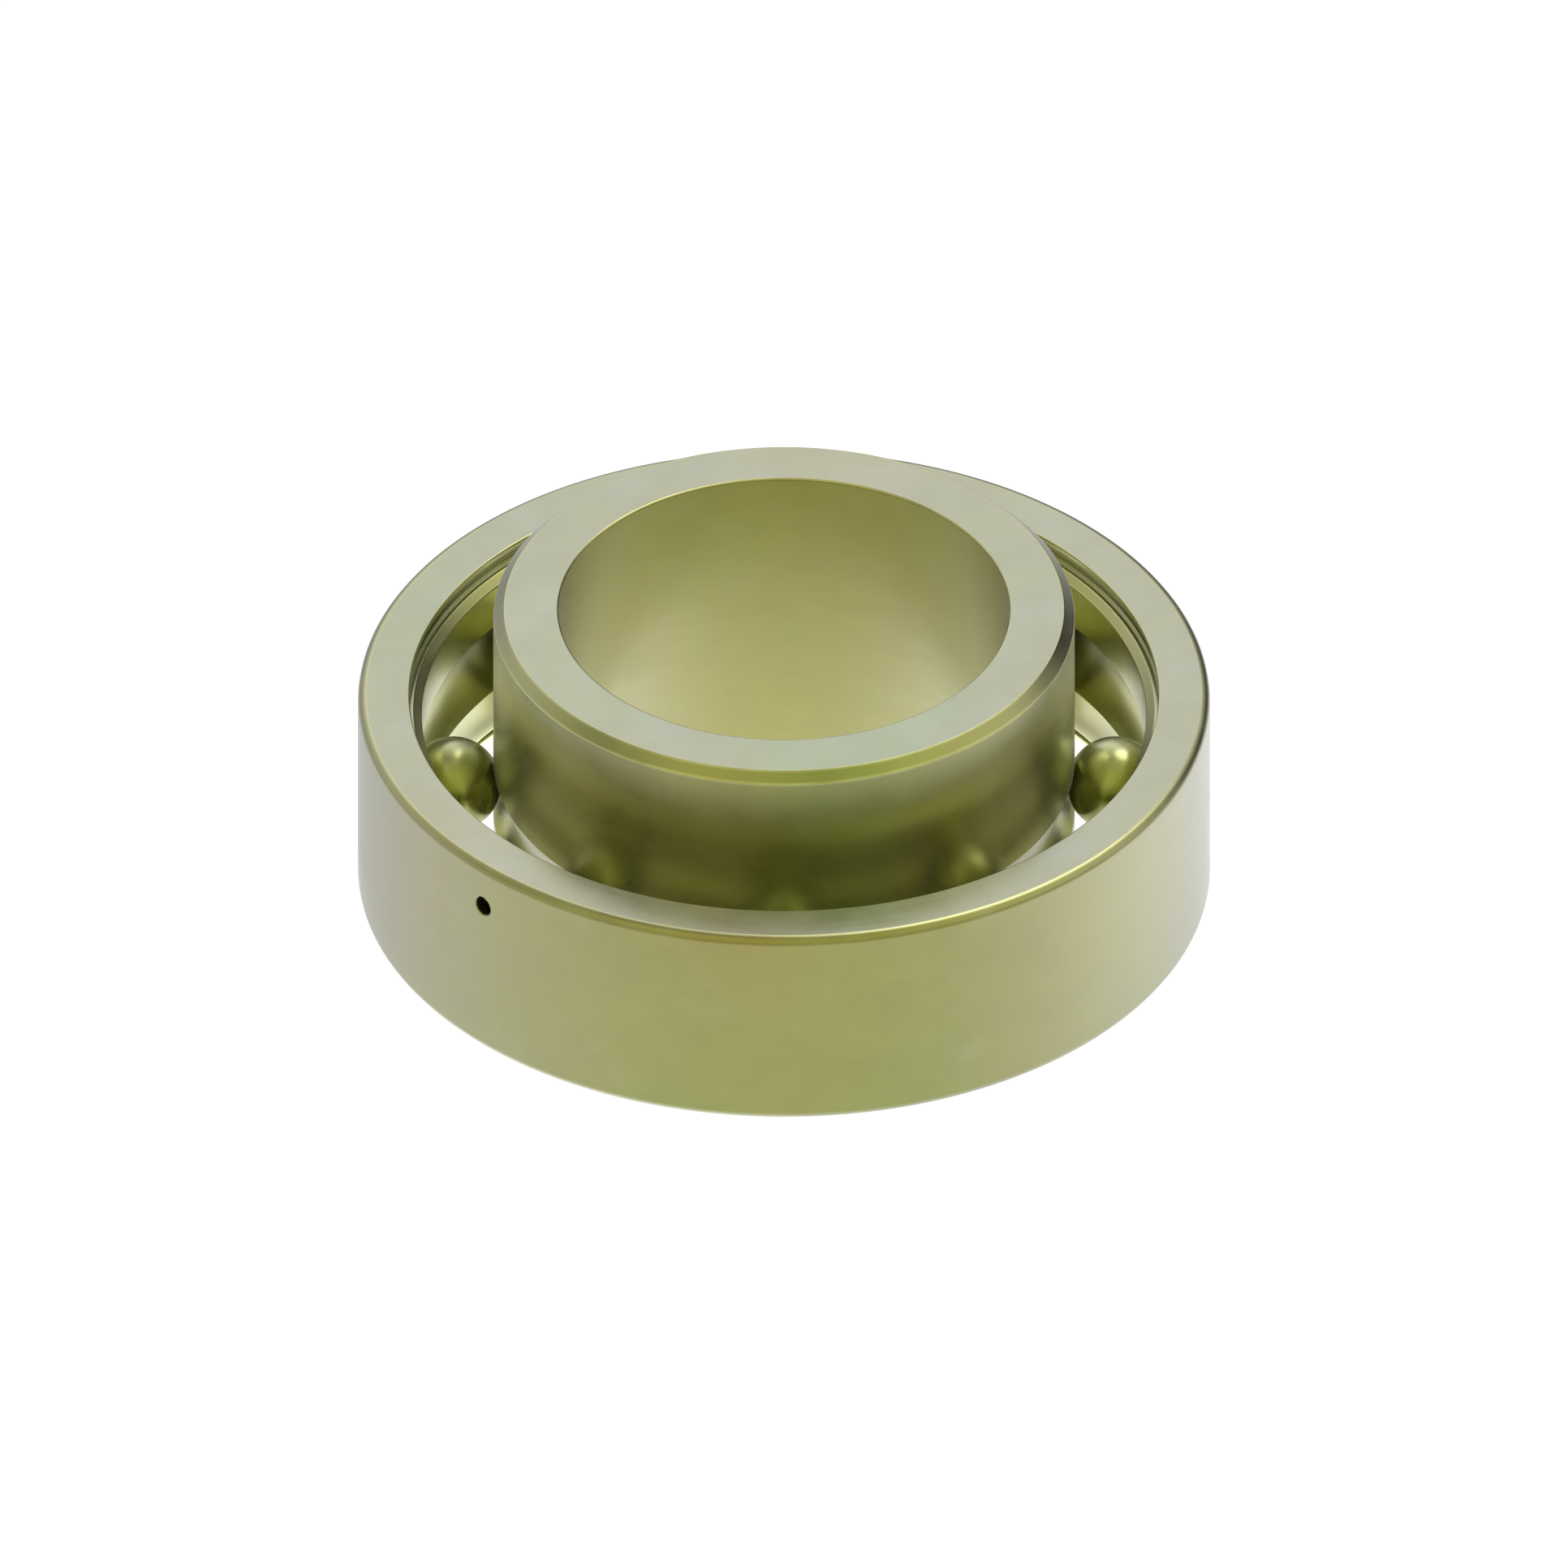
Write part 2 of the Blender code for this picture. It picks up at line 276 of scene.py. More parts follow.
def make_ball(index):
    """One ball, turned its own way so that no two show the same marks."""
    turn = 2 * math.pi * index / BALL_COUNT
    mesh = bpy.data.meshes.new(f"ball_{index + 1}_polished")
    shape = bmesh.new()
    bmesh.ops.create_uvsphere(shape, u_segments=64, v_segments=32, radius=BALL_R * MM)
    centre = Vector((PITCH_R * math.cos(turn), PITCH_R * math.sin(turn), MID)) * MM
    tilt = Matrix.Rotation(0.9 + 1.7 * index, 4, "X") @ Matrix.Rotation(0.4 * index, 4, "Y")
    bmesh.ops.transform(shape, matrix=Matrix.Translation(centre) @ tilt, verts=shape.verts)
    shape.to_mesh(mesh)
    shape.free()
    mesh.shade_smooth()
    return placed(mesh.name, mesh)


def claw_sweep(index):
    """The claws round one ball: their section turned round the ball's radial axis, with rounded tips."""
    corners = []
    for radius, run in ((CLAW_IN, 1), (CLAW_OUT, -1)):
        stops = [CLAW_NEAR + (CLAW_FAR - CLAW_NEAR) * k / 6 for k in range(7)][::run]
        for k, x in enumerate(stops):
            corners.append((x, math.sqrt(radius * radius - x * x), CLAW_EDGE if k in (0, 6) else 0))
    section = rounded(corners, steps=3, support=0.05)
    middle_x = sum(x for x, _ in section) / len(section)
    middle_rho = sum(rho for _, rho in section) / len(section)
    # Each station is (degrees from straight down, size of the section there)
    sweep = [(CLAW_END * (-1 + k / CLAW_STEPS), 1.0) for k in range(2 * CLAW_STEPS + 1)]
    cap = []
    for bend in (0.5, 1.0, 1.5):
        past_end = math.degrees(TIP_LENGTH * math.sin(bend) / middle_rho)
        cap.append((past_end, 1 - TIP_SHRINK + TIP_SHRINK * math.cos(bend)))
    first = [(-CLAW_END - more, scale) for more, scale in reversed(cap)]
    stations = first + sweep + [(CLAW_END + more, scale) for more, scale in cap]
    spin = Matrix.Rotation(2 * math.pi * index / BALL_COUNT, 3, "Z")
    vertices = []
    for degrees, scale in stations:
        turn = math.radians(degrees)
        for x, rho in section:
            x = middle_x + (x - middle_x) * scale
            rho = middle_rho + (rho - middle_rho) * scale
            vertices.append(spin @ Vector((PITCH_R + x, rho * math.sin(turn), -rho * math.cos(turn))))
    return vertices, swept_faces(len(section), len(stations))


def tongue(index):
    """The strip that joins one pair of claws to the ring, its long edges rounded."""
    sides = ((TONGUE_NEAR, -1), (TONGUE_FAR, -1), (TONGUE_FAR, 1), (TONGUE_NEAR, 1))
    outline = rounded([(x, side * TONGUE_HALF_WIDTH, CAGE_EDGE) for x, side in sides], steps=3)
    spin = Matrix.Rotation(2 * math.pi * index / BALL_COUNT, 3, "Z")
    vertices = [spin @ Vector((PITCH_R + x, y, z)) for z in TONGUE_HEIGHTS for x, y in outline]
    return vertices, swept_faces(len(outline), len(TONGUE_HEIGHTS))


def merged(name, pieces):
    """One mesh object from several lists of points and faces."""
    vertices, faces = [], []
    for more, these in pieces:
        faces += [tuple(i + len(vertices) for i in face) for face in these]
        vertices += more
    return mesh_object(name, vertices, faces)


def make_cage():
    """The pressed cage: a ring under the balls, with a tongue and a pair of claws for each."""
    top = CAGE_BOTTOM + CAGE_RING_THICKNESS
    ring = [
        (CAGE_RING_OUT, top, CAGE_EDGE),
        (CAGE_RING_OUT, CAGE_BOTTOM, CAGE_EDGE),
        (CAGE_RING_IN, CAGE_BOTTOM, CAGE_EDGE),
        (CAGE_RING_IN, top, CAGE_EDGE),
    ]
    cage = lathe("cage_pressed", rounded(ring, steps=3))
    boolean(cage, "UNION", merged("tongues", [tongue(i) for i in range(BALL_COUNT)]))
    boolean(cage, "UNION", merged("claws", [claw_sweep(i) for i in range(BALL_COUNT)]))
    cage.data.set_sharp_from_angle(angle=math.radians(CAGE_SHARP_ANGLE))
    return cage


# ---------------------------------------------------------------- materials


class Graph:
    """Short calls that add nodes to a material or to the world."""

    def __init__(self, owner, shader):
        owner.use_nodes = True
        self.owner = owner
        self.tree = owner.node_tree
        self.shader = self.tree.nodes[shader]

    def add(self, kind, sockets=(), **settings):
        made = self.tree.nodes.new(kind)
        for key, value in settings.items():
            setattr(made, key, value)
        for key, value in dict(sockets).items():
            self.put(made.inputs[key], value)
        return made

    def put(self, socket, value):
        if isinstance(value, bpy.types.NodeSocket):
            self.tree.links.new(value, socket)
        else:
            socket.default_value = value

    def maths(self, operation, a, b=0.0):
        return self.add("ShaderNodeMath", {0: a, 1: b}, operation=operation).outputs[0]

    def length(self, vector):
        return self.add("ShaderNodeVectorMath", {0: vector}, operation="LENGTH").outputs["Value"]

    def along(self, vector, way):
        """How far the vector reaches along the way."""
        made = self.add("ShaderNodeVectorMath", {0: vector, 1: way}, operation="DOT_PRODUCT")
        return made.outputs["Value"]

    def scaled(self, vector, by):
        return self.add("ShaderNodeVectorMath", {0: vector, 3: by}, operation="SCALE").outputs[0]

    def blend(self, factor, a, b, mode="MIX"):
        made = self.add("ShaderNodeMix", data_type="RGBA", blend_type=mode)
        for key, value in ((0, factor), (6, a), (7, b)):
            self.put(made.inputs[key], value)
        return made.outputs[2]

    def ramp(self, value, low, high, to_low=0.0, to_high=1.0, smooth=True):
        """Goes from to_low to to_high while the value goes from low to high, and stays there past both."""
        made = self.add("ShaderNodeMapRange", interpolation_type="SMOOTHSTEP" if smooth else "LINEAR")
        for key, number in ((0, value), (1, low), (2, high), (3, to_low), (4, to_high)):
            self.put(made.inputs[key], number)
        return made.outputs[0]

    def past(self, length, start, end, before=0.0, after=1.0):
        """The same for a length, with start and end in millimetres."""
        return self.ramp(length, start * MM, end * MM, before, after)

    def noise(self, vector, scale, detail=3.0, roughness=0.5):
        sockets = {"Vector": vector, "Scale": scale, "Detail": detail, "Roughness": roughness}
        return self.add("ShaderNodeTexNoise", sockets).outputs[0]

    def seen_as(self, seen, lit):
        """One value for what the camera sees straight, and another for all that is lit or mirrored by it."""
        straight = self.add("ShaderNodeLightPath").outputs["Is Camera Ray"]
        return self.add("ShaderNodeMix", {0: straight, 2: lit, 3: seen}).outputs[0]

    def surface(self, share, first, second):
        """Gives the material a mix of two shaders, with this share of the second."""
        both = self.add("ShaderNodeMixShader", {0: share, 1: first.outputs[0], 2: second.outputs[0]})
        self.put(self.tree.nodes["Material Output"].inputs["Surface"], both.outputs[0])


def new_material(name):
    return Graph(bpy.data.materials.new(name), "Principled BSDF")


# Base colours: the yellowish metal outside, inside it painted brighter as bounced light, and its paler flat
# faces
OUTSIDE = (0.297, 0.291, 0.059)
OUTER_RING_INSIDE_PAINTED_LIGHT = (0.590, 0.584, 0.120)
INNER_RING_INSIDE_PAINTED_LIGHT = (0.355, 0.352, 0.068)
FACE = (0.484, 0.499, 0.314)
FACE_CLOUD = (0.500, 0.530, 0.385)
# The tones that drift over it, its worn edges with a painted highlight, and the balls and the cage
WARM = (1.08, 0.95, 0.90)
GREEN = (0.88, 1.03, 0.90)
WORN_AND_HIGHLIGHT = (0.600, 0.590, 0.190)
BALL = (0.385, 0.410, 0.066)
CAGE = (0.34, 0.335, 0.10)
CAGE_WORN_AND_HIGHLIGHT = (0.62, 0.61, 0.42)
# The gloss seen at a low angle, outside and inside, and the tint at the lowest
GLOSS = (0.550, 0.555, 0.525, 1)
INSIDE_GLOSS = (0.940, 0.940, 0.810, 1)
EDGE_TINT = (0.7, 0.7, 0.7, 1)
GLOSS_BEND = 1.2  # the higher, the lower the view at which the gloss takes over
# What share of its brightness the metal keeps under painted shade: on the inner ring's outer wall, between
# the rings, and in the lubrication hole
SHOULDER_PAINTED_SHADE = 0.82
HOLE_PAINTED_SHADE = 0.35
RING_ROUGHNESS = 0.30
FLAT_SMOOTHER = 0.08
RACE_ROUGHER = 0.05
WORN_SMOOTHER = 0.06
# How upright a surface's normal is, from and to, where a flat face begins and where a slope begins
FLAT = (0.965, 0.995)
SLOPE = (0.45, 0.60)
# Where on the rings the paint changes, from and to, in millimetres
CHAMFER_HEIGHT = (4.5, 5.0)  # slopes nearer to the ball plane belong to the raceways
OUTER_WALL_RADIUS = (41.2, 41.7)
SHOULDER_START, SHOULDER_END = (26.0, 27.0), (31.0, 30.0)
OUTER_RACE = (36.1, 38.1)
INNER_RACE = (27.9, 29.1)
RACE_HEIGHT = (4.1, 3.8)
RACE_BLUR = 0.1


def polish(g, colour, sheer, rough, normal, metallic=1.0):
    """Metal of one colour at a steep view, under a grey gloss, sheer, that takes over at a low angle."""
    gloss = g.add("ShaderNodeBsdfPrincipled", {"Base Color": sheer, "Metallic": 1.0})
    g.put(g.shader.inputs["Base Color"], colour)
    g.put(g.shader.inputs["Metallic"], metallic)
    g.put(g.shader.inputs["Specular IOR Level"], 0.0)
    for shader in (g.shader, gloss):
        g.put(shader.inputs["Specular Tint"], EDGE_TINT)
        g.put(shader.inputs["Roughness"], rough)
        g.put(shader.inputs["Normal"], normal)
    facing = g.add("ShaderNodeLayerWeight", {"Blend": 0.5, "Normal": normal}).outputs["Facing"]
    g.surface(g.maths("POWER", facing, GLOSS_BEND), g.shader, gloss)


# Where each ring's turned edges run, as (radius, height over the ball plane) in millimetres
OUTER_EDGES = [(OUTER_R - OUTER_FILLET + 0.05, OUTER_TOP), (MOUTH_R, OUTER_TOP)]
OUTER_EDGES += [(LEDGE_R, LEDGE_HEIGHT), (OUTER_LAND_R, SEAT_START)]
OUTER_EDGES += [(edge_r, -edge_z) for edge_r, edge_z in OUTER_EDGES]
INNER_EDGES = []
for end_height, inwards in ((INNER_TOP, -1), (INNER_BOTTOM, 1)):
    INNER_EDGES += [(INNER_R, end_height + inwards * INNER_CHAMFER_DEPTH)]
    INNER_EDGES += [(INNER_R - INNER_CHAMFER_WIDTH, end_height), (BORE_R, end_height)]
EDGE_WEAR_AND_HIGHLIGHT_REACH, EDGE_WEAR_AND_HIGHLIGHT_CORE = 0.28, 0.08


def edge_wear_and_highlight(g, radius, z, edges):
    """1 on a turned edge, where wear and a painted highlight go, down to 0 at a short reach from it."""
    worn_and_highlight = 0.0
    for edge_r, edge_z in edges:
        out = g.maths("SUBTRACT", radius, edge_r * MM)
        up = g.maths("SUBTRACT", z, (MID + edge_z) * MM)
        away = g.length(g.add("ShaderNodeCombineXYZ", {0: out, 1: up}).outputs[0])
        worn_and_highlight = g.maths("MAXIMUM", worn_and_highlight, g.past(away, EDGE_WEAR_AND_HIGHLIGHT_REACH, EDGE_WEAR_AND_HIGHLIGHT_CORE))
    return worn_and_highlight


def hole_for_painted_shade(g, x, y, z, radius):
    """1 on the wall of the lubrication hole, where shade is painted, and 0 elsewhere."""
    above = g.maths("SUBTRACT", z, (MID + HOLE_HEIGHT) * MM)
    across = g.length(g.add("ShaderNodeCombineXYZ", {0: x, 1: above}).outputs[0])
    near = g.past(across, HOLE_R + 0.08, HOLE_R + 0.02)
    past_land = g.past(radius, OUTER_LAND_R - 1.12, OUTER_LAND_R - 0.62)
    deep = g.maths("MULTIPLY", past_land, g.past(radius, OUTER_R, OUTER_R - 0.15))
    return g.maths("MULTIPLY", g.maths("MULTIPLY", near, deep), g.past(y, 0.0, -1.0))


def turned_steel(name, inside_painted_light, race_radii, edges):
    """Ground steel with a pale passivated tone: flat faces paler than walls, insides painted brighter as
    bounced light, soft clouds of tone, grinding lines that run round the axis, edges worn bright with a
    painted highlight, painted shade on the inner ring's outer wall and in the lubrication hole, and a
    slightly duller raceway between two radii."""
    g = new_material(name)
    place = g.add("ShaderNodeTexCoord")
    spot = place.outputs["Object"]
    x, y, z = g.add("ShaderNodeSeparateXYZ", {0: spot}).outputs
    radius = g.maths("SQRT", g.maths("ADD", g.maths("MULTIPLY", x, x), g.maths("MULTIPLY", y, y)))
    height = g.maths("ABSOLUTE", g.maths("SUBTRACT", z, MID * MM))
    normal = g.add("ShaderNodeSeparateXYZ", {0: place.outputs["Normal"]})
    upright = g.maths("ABSOLUTE", normal.outputs[2])

    # Where on the ring: a flat face, a chamfer, the outer ring's outer wall, the inner ring's outer wall that
    # gets painted shade, the raceway
    flat = g.ramp(upright, *FLAT)
    sloped = g.maths("MULTIPLY", g.ramp(upright, *SLOPE), g.past(height, *CHAMFER_HEIGHT))
    rim = g.past(radius, *OUTER_WALL_RADIUS)
    shoulder_painted_shade = g.maths("MULTIPLY", g.past(radius, *SHOULDER_START), g.past(radius, *SHOULDER_END))
    shoulder_painted_shade = g.maths("MULTIPLY", shoulder_painted_shade, g.maths("SUBTRACT", 1.0, g.maths("MAXIMUM", flat, sloped)))
    above = g.past(radius, race_radii[0] - RACE_BLUR, race_radii[0])
    below = g.past(radius, race_radii[1] + RACE_BLUR, race_radii[1])
    raceway = g.maths("MULTIPLY", g.past(height, *RACE_HEIGHT), g.maths("MULTIPLY", above, below))

    # Soft patterns, from wide to fine
    moved = g.add("ShaderNodeVectorMath", {0: spot, 1: (0.13, 0.07, 0.02)}, operation="ADD").outputs[0]
    hue = g.noise(moved, scale=30.0, detail=1.5)
    tone = g.noise(spot, scale=48.0, detail=2.0)
    pale = g.noise(moved, scale=120.0, detail=2.0)
    clouds = g.noise(spot, scale=230.0, detail=2.5)
    smears_at = g.add("ShaderNodeMapping", {0: spot, 2: (0.6, 0.4, 0.9), 3: (140.0, 110.0, 170.0)}).outputs[0]
    smears = g.noise(smears_at, scale=1.0, roughness=0.6)
    # Grinding lines: a noise that is long round the axis and very short across it
    turned = g.maths("MULTIPLY", g.maths("ARCTAN2", y, x), 0.003)
    lines_at = g.add("ShaderNodeCombineXYZ", {0: turned, 1: radius, 2: z}).outputs[0]
    broad = g.noise(lines_at, scale=700.0, detail=2.0)
    lines = g.noise(lines_at, scale=2600.0, roughness=0.6)

    outside = g.maths("MAXIMUM", g.maths("MULTIPLY", sloped, 0.6), rim)
    # The insides get a brighter copy of the metal's colour: painted bounced light
    wall = g.blend(outside, (*inside_painted_light, 1), (*OUTSIDE, 1))
    face = g.blend(g.ramp(pale, 0.45, 0.68, 0.0, 0.75), (*FACE, 1), (*FACE_CLOUD, 1))
    colour = g.blend(flat, wall, face)
    drift = g.blend(g.ramp(hue, 0.50, 0.72, 0.0, 0.8), (1, 1, 1, 1), (*WARM, 1))
    drift = g.blend(g.ramp(hue, 0.48, 0.30, 0.0, 0.8), drift, (*GREEN, 1))
    colour = g.blend(1.0, colour, drift, "MULTIPLY")
    colour = g.blend(g.ramp(smears, 0.55, 0.75, 0.0, 0.10), colour, (*FACE, 1))

    tone_and_painted_shade = g.maths("ADD", g.ramp(tone, 0.25, 0.75, -0.035, 0.035), g.ramp(clouds, 0.3, 0.7, -0.035, 0.035))
    tone_and_painted_shade = g.maths("ADD", tone_and_painted_shade, g.ramp(lines, 0.3, 0.7, 0.988, 1.012))
    # Painted shade on the inner ring's outer wall, between the rings
    tone_and_painted_shade = g.maths("MULTIPLY", tone_and_painted_shade, g.ramp(shoulder_painted_shade, 0.0, 1.0, 1.0, SHOULDER_PAINTED_SHADE))
    # Painted shade in the lubrication hole: its wall darker
    tone_and_painted_shade = g.maths("MULTIPLY", tone_and_painted_shade, g.ramp(hole_for_painted_shade(g, x, y, z, radius), 0.0, 1.0, 1.0, HOLE_PAINTED_SHADE))
    # Turned edges painted bright: wear and a painted highlight
    worn_and_highlight = g.maths("MULTIPLY", edge_wear_and_highlight(g, radius, z, edges), g.ramp(clouds, 0.25, 0.65, 0.55, 1.0))
    colour = g.blend(g.maths("MULTIPLY", worn_and_highlight, 0.5), g.scaled(colour, tone_and_painted_shade), (*WORN_AND_HIGHLIGHT, 1))

    rough = g.maths("SUBTRACT", RING_ROUGHNESS, g.maths("MULTIPLY", flat, FLAT_SMOOTHER))
    rough = g.maths("ADD", rough, g.ramp(clouds, 0.3, 0.7, -0.015, 0.02))
    rough = g.maths("ADD", rough, g.ramp(smears, 0.5, 0.75, 0.0, 0.03))
    rough = g.maths("ADD", rough, g.ramp(lines, 0.3, 0.7, -0.01, 0.015))
    rough = g.maths("ADD", rough, g.ramp(broad, 0.35, 0.65, -0.01, 0.01))
    rough = g.maths("ADD", rough, g.maths("MULTIPLY", raceway, RACE_ROUGHER))
    rough = g.maths("SUBTRACT", rough, g.maths("MULTIPLY", worn_and_highlight, WORN_SMOOTHER))
    bump = g.add("ShaderNodeBump", {"Strength": 0.10, "Distance": 0.00004, "Height": clouds})
    bare = g.maths("MAXIMUM", g.maths("MAXIMUM", sloped, rim), flat)
    metallic = g.ramp(bare, 0.0, 1.0, 0.9, 1.0)
    polish(g, colour, g.blend(bare, INSIDE_GLOSS, GLOSS), rough, bump.outputs[0], metallic)
    return g.owner


def ball_steel():
    """Polished balls with the faint lapping marks and dull patches of a ball that has run."""
    g = new_material("ball_steel_polished")
    spot = g.add("ShaderNodeTexCoord").outputs["Object"]
    tone = g.noise(spot, scale=160.0)
    marks = g.noise(spot, scale=420.0, detail=2.0)
    colour = g.scaled(BALL, g.ramp(tone, 0.3, 0.7, 0.92, 1.06))
    bump = g.add("ShaderNodeBump", {"Strength": 0.01, "Distance": 0.00001, "Height": marks})
    polish(g, colour, INSIDE_GLOSS, g.ramp(marks, 0.3, 0.7, 0.26, 0.29), bump.outputs[0], 0.85)
    return g.owner


def cage_steel():
    """Pressed sheet: duller than the rings, with faint drawn streaks and edges rubbed bright, partly wear and
    partly a painted highlight.
    """
    g = new_material("cage_steel_pressed")
    spot = g.add("ShaderNodeTexCoord").outputs["Object"]
    tone = g.noise(spot, scale=220.0)
    drawn = g.add("ShaderNodeMapping", {0: spot, 3: (900.0, 900.0, 120.0)}).outputs[0]
    streaks = g.noise(drawn, scale=1.0, roughness=0.6)
    colour = g.scaled(CAGE, g.ramp(tone, 0.3, 0.7, 0.88, 1.08))
    # Convex edges painted bright: wear and a painted highlight
    worn_and_highlight = g.ramp(g.add("ShaderNodeNewGeometry").outputs["Pointiness"], 0.53, 0.60, 0.0, 0.4)
    colour = g.blend(worn_and_highlight, colour, (*CAGE_WORN_AND_HIGHLIGHT, 1))
    bump = g.add("ShaderNodeBump", {"Strength": 0.05, "Distance": 0.00002, "Height": streaks})
    polish(g, colour, GLOSS, g.ramp(streaks, 0.3, 0.7, 0.32, 0.42), bump.outputs[0], 0.8)
    return g.owner


# ---------------------------------------------------------------- light, floor and camera


BACKDROP = 1.0  # how bright the floor and the sky look behind the part
# How brightly the floor glows on the part: all over, behind it on its right, and as a share of that far away
FLOOR_GLOW = 1.0
BRIGHT_FLOOR_GLOW = 1.5
FAR_FLOOR_SHARE = 0.4
GLOW_TOWARDS = 132  # degrees right of the camera
# What the floor under the gap between the rings glows on top of that
LEFT_UNDER_GLOW = 0.85
RIGHT_UNDER_GLOW = 0.22
# Where these glows change, from and to, in millimetres: along the bright way, or from the floor's middle
BRIGHT_ALONG = (-20, 75)
BRIGHT_WITHIN = (130, 90)
FAR_FROM = (90, 270)
UNDER_START, UNDER_END = (24, 30), (50, 40)
LEFT_TO_RIGHT = (-20, 20)
FLOOR_COLOUR = (0.06, 0.06, 0.06, 1)
FLOOR_LIGHT = (1.0, 1.0, 0.995, 1)
FLOOR_ROUGHNESS = 0.9
FLOOR_RADIUS = 2.5  # in metres
FLOOR_DROP = 0.0001  # in metres, so that the floor doesn't share a plane with the part's underside
SKY = 0.85
SKY_LIGHT = (1.0, 1.0, 0.99, 1)
# Soft patches of the studio's light: degrees right of the camera, degrees up, half width in degrees, and
# change in brightness
PATCHES = (
    (143, 60, 24, 0.5),
    (180, 42, 42, 0.22),
    (0, 88, 42, -0.2),
    (82, 38, 45, 0.32),
    (143, 9, 47, -0.82),
    (-78, 37, 27, -0.34),
    (-40, 52, 26, 0.2),
    (-150, 66, 26, -0.35),
    (-152, -4, 36, -0.3),
)
SOFTBOX_WAY = (143, 62)  # degrees right of the camera, degrees up
SOFTBOX_DISTANCE = 0.8
SOFTBOX_SIZE = 0.38
SOFTBOX_ENERGY = 0.72
CAMERA_AZIMUTH = -45  # degrees round from the x axis
CAMERA_UP = math.degrees(math.atan(1 / math.sqrt(2)))
CAMERA_DISTANCE = 0.8
CAMERA_WIDTH = 0.1564  # metres across the picture


def direction(right, up):
    """The unit vector that many degrees round to the right of the camera, and that many degrees up."""
    turn, lift = math.radians(right + CAMERA_AZIMUTH), math.radians(up)
    return Vector((math.cos(turn) * math.cos(lift), math.sin(turn) * math.cos(lift), math.sin(lift)))


def floor_material():
    """A plain pale floor that glows a little: more behind the part on its right, less far away, and some
    more under the gap between the rings, above all on the left. From below it is clear."""
    g = new_material("pale_floor")
    spot = g.add("ShaderNodeTexCoord").outputs["Object"]
    distance = g.length(spot)
    bright_way = g.along(spot, direction(GLOW_TOWARDS, 0))
    bright = g.maths("MULTIPLY", g.past(bright_way, *BRIGHT_ALONG), g.past(distance, *BRIGHT_WITHIN))
    glow = g.ramp(bright, 0.0, 1.0, FLOOR_GLOW, BRIGHT_FLOOR_GLOW, smooth=False)
    glow = g.maths("MULTIPLY", glow, g.past(distance, *FAR_FROM, 1.0, FAR_FLOOR_SHARE))
    under = g.maths("MULTIPLY", g.past(distance, *UNDER_START), g.past(distance, *UNDER_END))
    side = g.past(g.along(spot, direction(90, 0)), *LEFT_TO_RIGHT, LEFT_UNDER_GLOW, RIGHT_UNDER_GLOW)
    glow = g.maths("ADD", glow, g.maths("MULTIPLY", under, side))
    g.put(g.shader.inputs["Base Color"], FLOOR_COLOUR)
    g.put(g.shader.inputs["Roughness"], FLOOR_ROUGHNESS)
    g.put(g.shader.inputs["Specular IOR Level"], 0.0)
    g.put(g.shader.inputs["Emission Color"], FLOOR_LIGHT)
    g.put(g.shader.inputs["Emission Strength"], g.seen_as(BACKDROP, glow))
    beneath = g.add("ShaderNodeNewGeometry").outputs["Backfacing"]
    g.surface(beneath, g.shader, g.add("ShaderNodeBsdfTransparent"))
    return g.owner


def make_sky():
    """An even sky with wide soft patches, brighter high behind the part on its right and darker low there."""
    g = Graph(bpy.data.worlds.new("soft_studio"), "Background")
    bpy.context.scene.world = g.owner
    way = g.add("ShaderNodeTexCoord").outputs["Generated"]
    light = SKY
    for right, up, spread, change in PATCHES:
        edge = math.cos(math.radians(spread))
        patch = g.ramp(g.along(way, direction(right, up)), edge, 1.0, 0.0, change)
        light = g.maths("ADD", patch, light)
    g.put(g.shader.inputs["Color"], SKY_LIGHT)
    g.put(g.shader.inputs["Strength"], g.seen_as(BACKDROP, light))


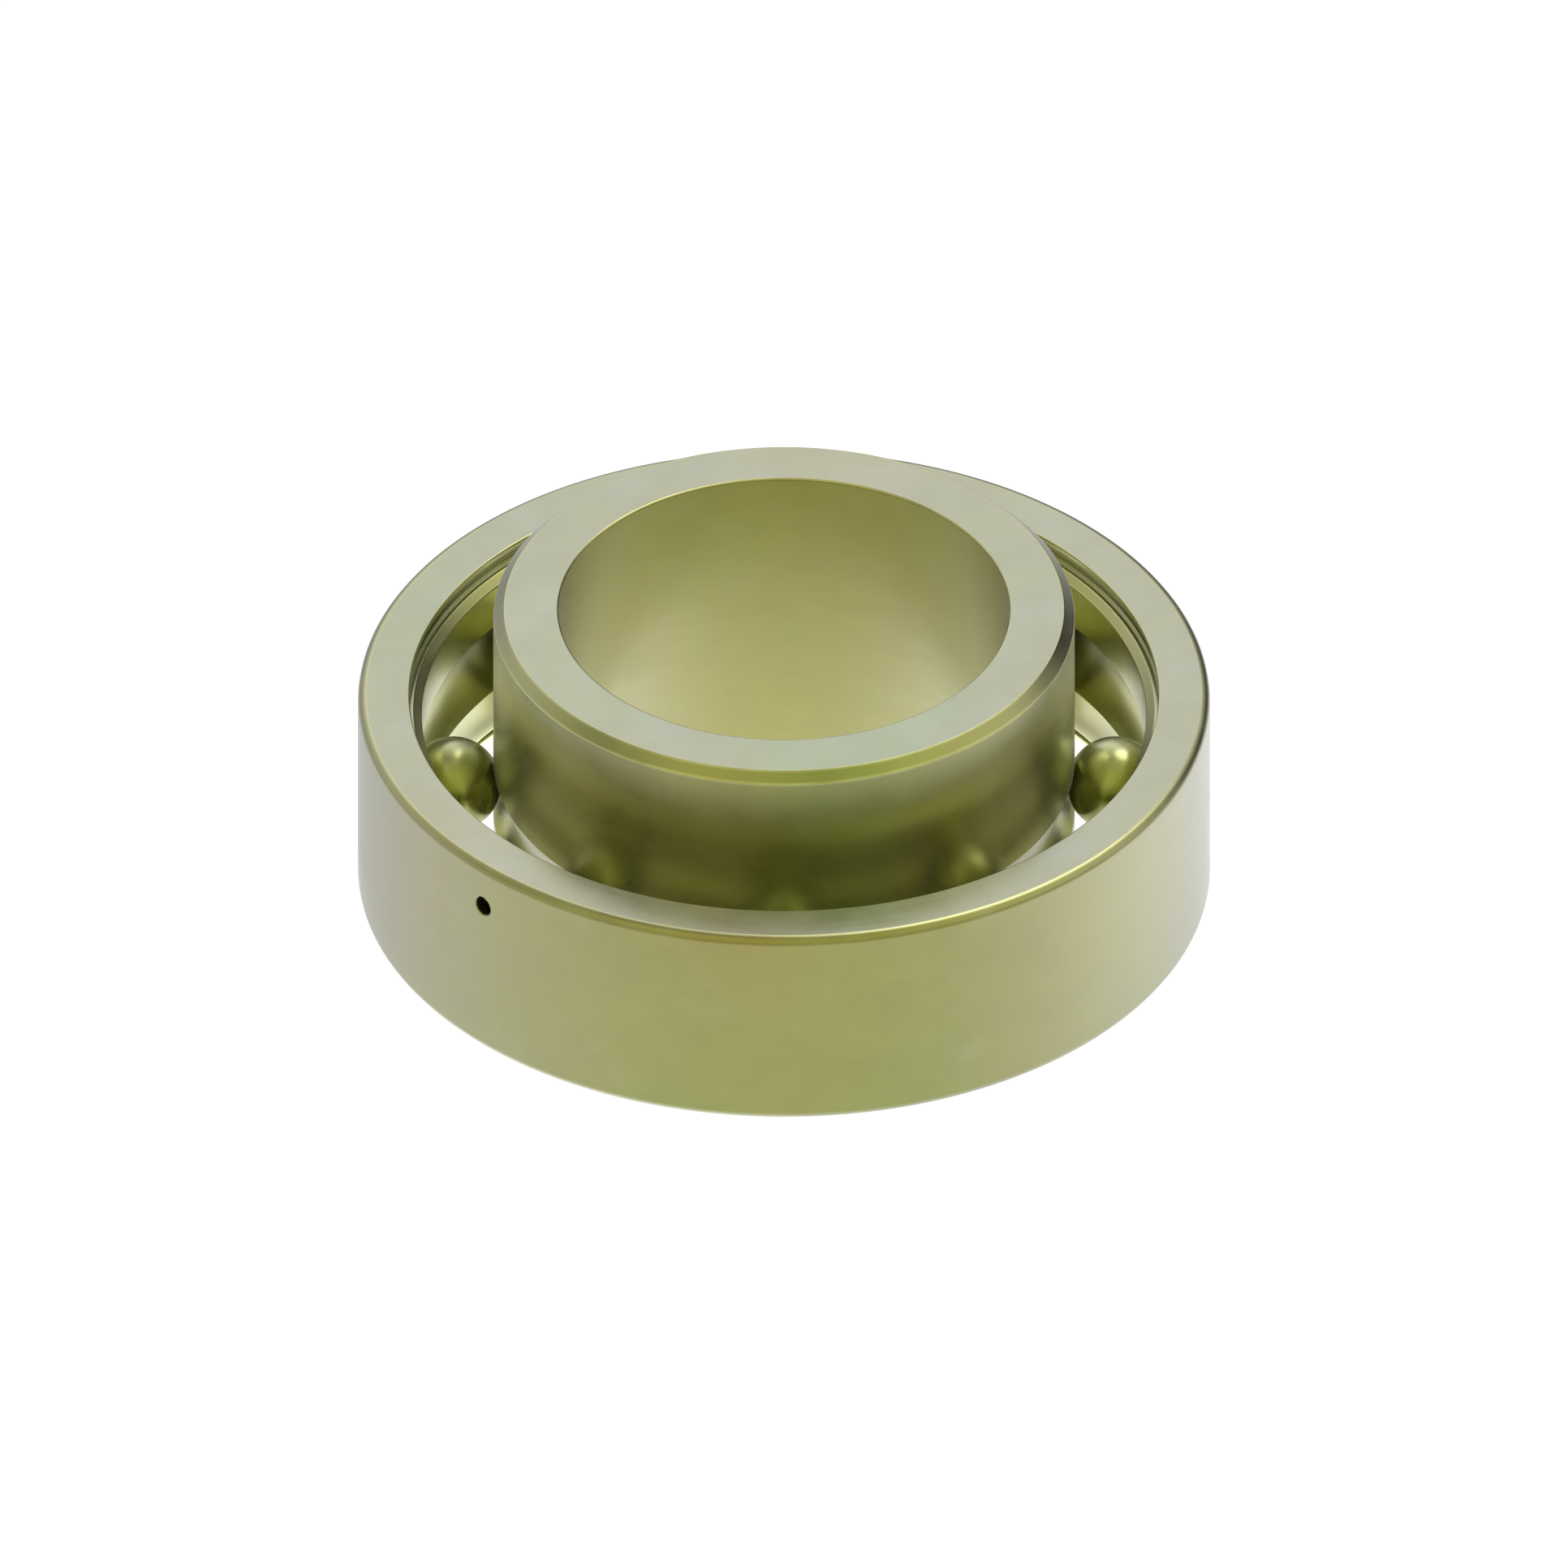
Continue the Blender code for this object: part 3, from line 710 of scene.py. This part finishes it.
def dress(piece, material, body, slot, *nodes):
    """Gives a piece its material and its body, and hides the nodes of the part that it stands for."""
    piece.data.materials.clear()
    piece.data.materials.append(material)
    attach(piece, body)
    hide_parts(*nodes)


def make_stage():
    """The floor and one round softbox."""
    mesh = bpy.data.meshes.new("floor")
    shape = bmesh.new()
    bmesh.ops.create_circle(shape, cap_ends=True, segments=96, radius=FLOOR_RADIUS)
    shape.to_mesh(mesh)
    shape.free()
    mesh.materials.append(floor_material())
    floor = placed("floor", mesh)
    floor.location.z = cad_box[0][2] - FLOOR_DROP

    light = bpy.data.lights.new("softbox", "AREA")
    light.shape = "DISK"
    light.size = SOFTBOX_SIZE
    light.energy = SOFTBOX_ENERGY
    lamp = placed("softbox", light)
    lamp.location = direction(*SOFTBOX_WAY) * SOFTBOX_DISTANCE
    lamp.rotation_euler = (-lamp.location).to_track_quat("-Z", "Y").to_euler()


def make_camera():
    """A parallel view of the middle of the outer ring, 45 degrees round from the lubrication hole and 35.26
    degrees down."""
    data = bpy.data.cameras.new("camera")
    data.type = "ORTHO"
    data.ortho_scale = CAMERA_WIDTH
    data.clip_end = 10
    camera = placed("camera", data)
    towards = direction(0, CAMERA_UP)
    camera.location = Vector((0, 0, MID * MM)) + towards * CAMERA_DISTANCE
    camera.rotation_euler = (-towards).to_track_quat("-Z", "Y").to_euler()
    bpy.context.scene.camera = camera


outer_steel = turned_steel("outer_ring_steel_ground", OUTER_RING_INSIDE_PAINTED_LIGHT, OUTER_RACE, OUTER_EDGES)
inner_steel = turned_steel("inner_ring_steel_ground", INNER_RING_INSIDE_PAINTED_LIGHT, INNER_RACE, INNER_EDGES)
ball_finish = ball_steel()
dress(make_outer_ring(), outer_steel, "outer_ring", "outer_ring_steel", "outer_ring")
dress(make_inner_ring(), inner_steel, "inner_ring", "inner_ring_steel", "inner_ring")
dress(make_cage(), cage_steel(), "cage", "cage_steel", "cage")
for ball in range(BALL_COUNT):
    name = f"ball_{ball + 1}"
    dress(make_ball(ball), ball_finish, name, "ball_steel", name)
make_stage()
make_sky()
make_camera()
bpy.context.scene.view_settings.view_transform = "Standard"
